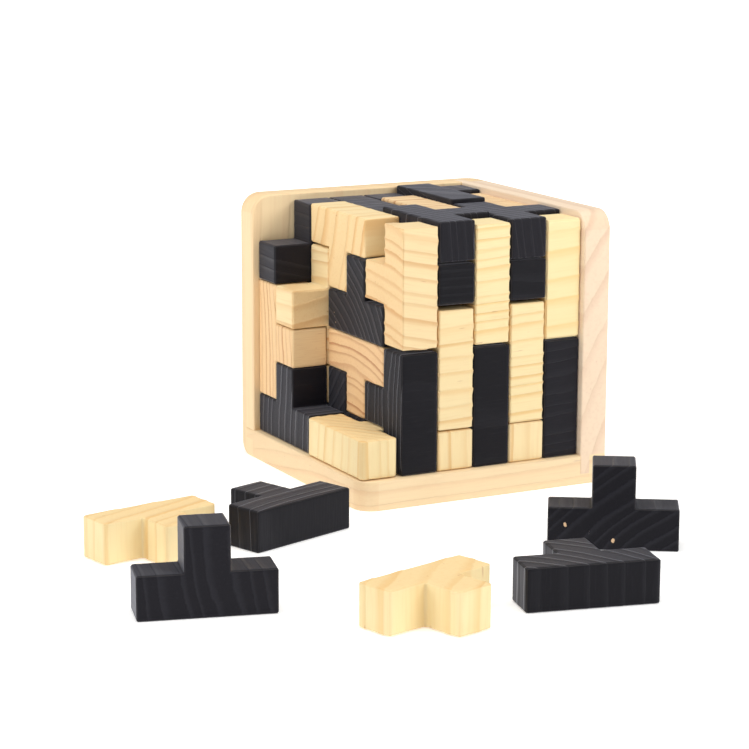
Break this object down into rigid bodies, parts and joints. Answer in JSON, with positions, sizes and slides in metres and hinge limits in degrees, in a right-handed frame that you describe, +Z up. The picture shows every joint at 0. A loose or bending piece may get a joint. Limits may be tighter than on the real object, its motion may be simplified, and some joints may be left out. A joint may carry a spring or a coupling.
{
  "type": "T-piece cube puzzle",
  "caption": "Cube puzzle of equal wooden T pieces, pale and stained black, in an open three-board corner tray, with some pieces laid out beside it.",
  "frame": {"origin": "middle of the tray's underside, on the surface that everything stands on", "axes": "+Z up, +X to the side wall, +Y to the back wall; the cube's two open faces look along -X and -Y"},
  "size_m": [0.1785, 0.1947, 0.083],
  "materials": {
    "natural_pine": "sanded pale pine, unvarnished",
    "black_pine": "pine stained black, satin, grain showing",
    "tray_pine": "sanded pale pine board"
  },
  "bodies": {
    "tray": {"tray_base": "tray_pine", "tray_back_wall": "tray_pine", "tray_side_wall": "tray_pine"},
    "left_floor_front_bar": {"left_floor_front_bar": "natural_pine"},
    "left_floor_back_bar": {"left_floor_back_bar": "black_pine"},
    "left_back_lower_post": {"left_back_lower_post": "natural_pine"},
    "left_front_lower_post": {"left_front_lower_post": "black_pine"},
    "left_floor_inner_bar": {"left_floor_inner_bar": "black_pine"},
    "left_lower_cross_bar": {"left_lower_cross_bar": "natural_pine"},
    "left_upper_cross_bar": {"left_upper_cross_bar": "black_pine"},
    "left_front_upper_post": {"left_front_upper_post": "natural_pine"},
    "left_back_corner_post": {"left_back_corner_post": "natural_pine"},
    "left_back_upper_post": {"left_back_upper_post": "black_pine"},
    "left_inner_post": {"left_inner_post": "natural_pine"},
    "left_top_tie": {"left_top_tie": "natural_pine"},
    "middle_floor_front_bar": {"middle_floor_front_bar": "natural_pine"},
    "middle_floor_back_bar": {"middle_floor_back_bar": "black_pine"},
    "middle_floor_inner_bar": {"middle_floor_inner_bar": "black_pine"},
    "middle_low_shelf_bar": {"middle_low_shelf_bar": "natural_pine"},
    "middle_lower_cross_bar": {"middle_lower_cross_bar": "natural_pine"},
    "middle_back_corner_post": {"middle_back_corner_post": "natural_pine"},
    "middle_middle_post": {"middle_middle_post": "black_pine"},
    "middle_upper_cross_bar": {"middle_upper_cross_bar": "black_pine"},
    "middle_back_lower_post": {"middle_back_lower_post": "natural_pine"},
    "middle_front_shelf_bar": {"middle_front_shelf_bar": "black_pine"},
    "middle_inner_post": {"middle_inner_post": "natural_pine"},
    "middle_back_upper_post": {"middle_back_upper_post": "black_pine"},
    "middle_top_back_cap": {"middle_top_back_cap": "black_pine"},
    "middle_top_tie": {"middle_top_tie": "natural_pine"},
    "middle_top_front_cap": {"middle_top_front_cap": "black_pine"},
    "middle_front_lower_post": {"middle_front_lower_post": "black_pine"},
    "middle_front_outer_post": {"middle_front_outer_post": "natural_pine"},
    "middle_front_upper_post": {"middle_front_upper_post": "natural_pine"},
    "right_floor_front_bar": {"right_floor_front_bar": "natural_pine"},
    "right_floor_back_bar": {"right_floor_back_bar": "black_pine"},
    "right_floor_inner_bar": {"right_floor_inner_bar": "black_pine"},
    "right_low_shelf_bar": {"right_low_shelf_bar": "natural_pine"},
    "right_lower_cross_bar": {"right_lower_cross_bar": "natural_pine"},
    "right_back_corner_post": {"right_back_corner_post": "natural_pine"},
    "right_middle_post": {"right_middle_post": "black_pine"},
    "right_upper_cross_bar": {"right_upper_cross_bar": "black_pine"},
    "right_back_lower_post": {"right_back_lower_post": "natural_pine"},
    "right_front_shelf_bar": {"right_front_shelf_bar": "black_pine"},
    "right_inner_post": {"right_inner_post": "natural_pine"},
    "right_back_upper_post": {"right_back_upper_post": "black_pine"},
    "right_top_back_cap": {"right_top_back_cap": "black_pine"},
    "right_top_tie": {"right_top_tie": "natural_pine"},
    "right_top_front_cap": {"right_top_front_cap": "black_pine"},
    "right_front_lower_post": {"right_front_lower_post": "black_pine"},
    "right_front_outer_post": {"right_front_outer_post": "natural_pine"},
    "right_front_upper_post": {"right_front_upper_post": "natural_pine"},
    "loose_front_outer_post": {"loose_front_outer_post": "natural_pine"},
    "loose_front_shelf_bar": {"loose_front_shelf_bar": "black_pine"},
    "loose_top_front_cap": {"loose_top_front_cap": "black_pine"},
    "loose_low_shelf_bar": {"loose_low_shelf_bar": "natural_pine"},
    "loose_middle_post": {"loose_middle_post": "black_pine"},
    "loose_top_back_cap": {"loose_top_back_cap": "black_pine"}
  },
  "joints": [
    {"name": "left_floor_front_bar_slide", "type": "slide", "parent": "tray", "child": "left_floor_front_bar", "axis": [-1, 0, 0], "range_m": [0, 0.024]},
    {"name": "left_floor_back_bar_slide", "type": "slide", "parent": "tray", "child": "left_floor_back_bar", "axis": [-1, 0, 0], "range_m": [0, 0.012]},
    {"name": "left_back_lower_post_slide", "type": "slide", "parent": "tray", "child": "left_back_lower_post", "axis": [-1, 0, 0], "range_m": [0, 0.012]},
    {"name": "left_front_lower_post_slide", "type": "slide", "parent": "tray", "child": "left_front_lower_post", "axis": [0, -1, 0], "range_m": [0, 0.024]},
    {"name": "left_floor_inner_bar_lift", "type": "slide", "parent": "tray", "child": "left_floor_inner_bar", "axis": [0, 0, 1], "range_m": [0, 0.024]},
    {"name": "left_lower_cross_bar_slide", "type": "slide", "parent": "left_floor_inner_bar", "child": "left_lower_cross_bar", "axis": [-1, 0, 0], "range_m": [0, 0.012]},
    {"name": "left_upper_cross_bar_slide", "type": "slide", "parent": "left_floor_inner_bar", "child": "left_upper_cross_bar", "axis": [-1, 0, 0], "range_m": [0, 0.012]},
    {"name": "left_front_upper_post_slide", "type": "slide", "parent": "left_floor_inner_bar", "child": "left_front_upper_post", "axis": [0, -1, 0], "range_m": [0, 0.024]},
    {"name": "left_back_corner_post_lift", "type": "slide", "parent": "left_floor_inner_bar", "child": "left_back_corner_post", "axis": [0, 0, 1], "range_m": [0, 0.036]},
    {"name": "left_back_upper_post_lift", "type": "slide", "parent": "left_back_corner_post", "child": "left_back_upper_post", "axis": [0, 0, 1], "range_m": [0, 0.036]},
    {"name": "left_inner_post_lift", "type": "slide", "parent": "left_back_corner_post", "child": "left_inner_post", "axis": [0, 0, 1], "range_m": [0, 0.036]},
    {"name": "left_top_tie_lift", "type": "slide", "parent": "left_inner_post", "child": "left_top_tie", "axis": [0, 0, 1], "range_m": [0, 0.024]},
    {"name": "middle_floor_front_bar_lift", "type": "slide", "parent": "tray", "child": "middle_floor_front_bar", "axis": [0, 0, 1], "range_m": [0, 0.012]},
    {"name": "middle_floor_back_bar_lift", "type": "slide", "parent": "middle_floor_front_bar", "child": "middle_floor_back_bar", "axis": [0, 0, 1], "range_m": [0, 0.024]},
    {"name": "middle_floor_inner_bar_lift", "type": "slide", "parent": "middle_floor_back_bar", "child": "middle_floor_inner_bar", "axis": [0, 0, 1], "range_m": [0, 0.024]},
    {"name": "middle_low_shelf_bar_lift", "type": "slide", "parent": "middle_floor_inner_bar", "child": "middle_low_shelf_bar", "axis": [0, 0, 1], "range_m": [0, 0.024]},
    {"name": "middle_lower_cross_bar_lift", "type": "slide", "parent": "middle_low_shelf_bar", "child": "middle_lower_cross_bar", "axis": [0, 0, 1], "range_m": [0, 0.024]},
    {"name": "middle_back_corner_post_lift", "type": "slide", "parent": "middle_lower_cross_bar", "child": "middle_back_corner_post", "axis": [0, 0, 1], "range_m": [0, 0.036]},
    {"name": "middle_middle_post_lift", "type": "slide", "parent": "middle_back_corner_post", "child": "middle_middle_post", "axis": [0, 0, 1], "range_m": [0, 0.036]},
    {"name": "middle_upper_cross_bar_lift", "type": "slide", "parent": "middle_middle_post", "child": "middle_upper_cross_bar", "axis": [0, 0, 1], "range_m": [0, 0.024]},
    {"name": "middle_back_lower_post_lift", "type": "slide", "parent": "middle_upper_cross_bar", "child": "middle_back_lower_post", "axis": [0, 0, 1], "range_m": [0, 0.036]},
    {"name": "middle_front_shelf_bar_lift", "type": "slide", "parent": "middle_back_lower_post", "child": "middle_front_shelf_bar", "axis": [0, 0, 1], "range_m": [0, 0.024]},
    {"name": "middle_inner_post_lift", "type": "slide", "parent": "middle_front_shelf_bar", "child": "middle_inner_post", "axis": [0, 0, 1], "range_m": [0, 0.036]},
    {"name": "middle_back_upper_post_lift", "type": "slide", "parent": "middle_inner_post", "child": "middle_back_upper_post", "axis": [0, 0, 1], "range_m": [0, 0.036]},
    {"name": "middle_top_back_cap_lift", "type": "slide", "parent": "middle_back_upper_post", "child": "middle_top_back_cap", "axis": [0, 0, 1], "range_m": [0, 0.024]},
    {"name": "middle_top_tie_lift", "type": "slide", "parent": "middle_top_back_cap", "child": "middle_top_tie", "axis": [0, 0, 1], "range_m": [0, 0.024]},
    {"name": "middle_top_front_cap_lift", "type": "slide", "parent": "middle_top_tie", "child": "middle_top_front_cap", "axis": [0, 0, 1], "range_m": [0, 0.012]},
    {"name": "middle_front_lower_post_slide", "type": "slide", "parent": "middle_floor_front_bar", "child": "middle_front_lower_post", "axis": [0, -1, 0], "range_m": [0, 0.024]},
    {"name": "middle_front_outer_post_slide", "type": "slide", "parent": "middle_low_shelf_bar", "child": "middle_front_outer_post", "axis": [0, -1, 0], "range_m": [0, 0.024]},
    {"name": "middle_front_upper_post_slide", "type": "slide", "parent": "middle_upper_cross_bar", "child": "middle_front_upper_post", "axis": [0, -1, 0], "range_m": [0, 0.024]},
    {"name": "right_floor_front_bar_lift", "type": "slide", "parent": "tray", "child": "right_floor_front_bar", "axis": [0, 0, 1], "range_m": [0, 0.012]},
    {"name": "right_floor_back_bar_lift", "type": "slide", "parent": "right_floor_front_bar", "child": "right_floor_back_bar", "axis": [0, 0, 1], "range_m": [0, 0.024]},
    {"name": "right_floor_inner_bar_lift", "type": "slide", "parent": "right_floor_back_bar", "child": "right_floor_inner_bar", "axis": [0, 0, 1], "range_m": [0, 0.024]},
    {"name": "right_low_shelf_bar_lift", "type": "slide", "parent": "right_floor_inner_bar", "child": "right_low_shelf_bar", "axis": [0, 0, 1], "range_m": [0, 0.024]},
    {"name": "right_lower_cross_bar_lift", "type": "slide", "parent": "right_low_shelf_bar", "child": "right_lower_cross_bar", "axis": [0, 0, 1], "range_m": [0, 0.024]},
    {"name": "right_back_corner_post_lift", "type": "slide", "parent": "right_lower_cross_bar", "child": "right_back_corner_post", "axis": [0, 0, 1], "range_m": [0, 0.036]},
    {"name": "right_middle_post_lift", "type": "slide", "parent": "right_back_corner_post", "child": "right_middle_post", "axis": [0, 0, 1], "range_m": [0, 0.036]},
    {"name": "right_upper_cross_bar_lift", "type": "slide", "parent": "right_middle_post", "child": "right_upper_cross_bar", "axis": [0, 0, 1], "range_m": [0, 0.024]},
    {"name": "right_back_lower_post_lift", "type": "slide", "parent": "right_upper_cross_bar", "child": "right_back_lower_post", "axis": [0, 0, 1], "range_m": [0, 0.036]},
    {"name": "right_front_shelf_bar_lift", "type": "slide", "parent": "right_back_lower_post", "child": "right_front_shelf_bar", "axis": [0, 0, 1], "range_m": [0, 0.024]},
    {"name": "right_inner_post_lift", "type": "slide", "parent": "right_front_shelf_bar", "child": "right_inner_post", "axis": [0, 0, 1], "range_m": [0, 0.036]},
    {"name": "right_back_upper_post_lift", "type": "slide", "parent": "right_inner_post", "child": "right_back_upper_post", "axis": [0, 0, 1], "range_m": [0, 0.036]},
    {"name": "right_top_back_cap_lift", "type": "slide", "parent": "right_back_upper_post", "child": "right_top_back_cap", "axis": [0, 0, 1], "range_m": [0, 0.024]},
    {"name": "right_top_tie_lift", "type": "slide", "parent": "right_top_back_cap", "child": "right_top_tie", "axis": [0, 0, 1], "range_m": [0, 0.024]},
    {"name": "right_top_front_cap_lift", "type": "slide", "parent": "right_top_tie", "child": "right_top_front_cap", "axis": [0, 0, 1], "range_m": [0, 0.012]},
    {"name": "right_front_lower_post_slide", "type": "slide", "parent": "right_floor_front_bar", "child": "right_front_lower_post", "axis": [0, -1, 0], "range_m": [0, 0.024]},
    {"name": "right_front_outer_post_slide", "type": "slide", "parent": "right_low_shelf_bar", "child": "right_front_outer_post", "axis": [0, -1, 0], "range_m": [0, 0.024]},
    {"name": "right_front_upper_post_slide", "type": "slide", "parent": "right_upper_cross_bar", "child": "right_front_upper_post", "axis": [0, -1, 0], "range_m": [0, 0.024]},
    {"name": "loose_front_outer_post_lift", "type": "slide", "parent": "tray", "child": "loose_front_outer_post", "axis": [0, 0, 1], "range_m": [0, 0.012]},
    {"name": "loose_front_shelf_bar_lift", "type": "slide", "parent": "tray", "child": "loose_front_shelf_bar", "axis": [0, 0, 1], "range_m": [0, 0.012]},
    {"name": "loose_top_front_cap_lift", "type": "slide", "parent": "tray", "child": "loose_top_front_cap", "axis": [0, 0, 1], "range_m": [0, 0.024]},
    {"name": "loose_low_shelf_bar_lift", "type": "slide", "parent": "tray", "child": "loose_low_shelf_bar", "axis": [0, 0, 1], "range_m": [0, 0.012]},
    {"name": "loose_middle_post_lift", "type": "slide", "parent": "tray", "child": "loose_middle_post", "axis": [0, 0, 1], "range_m": [0, 0.012]},
    {"name": "loose_top_back_cap_lift", "type": "slide", "parent": "tray", "child": "loose_top_back_cap", "axis": [0, 0, 1], "range_m": [0, 0.024]}
  ]
}
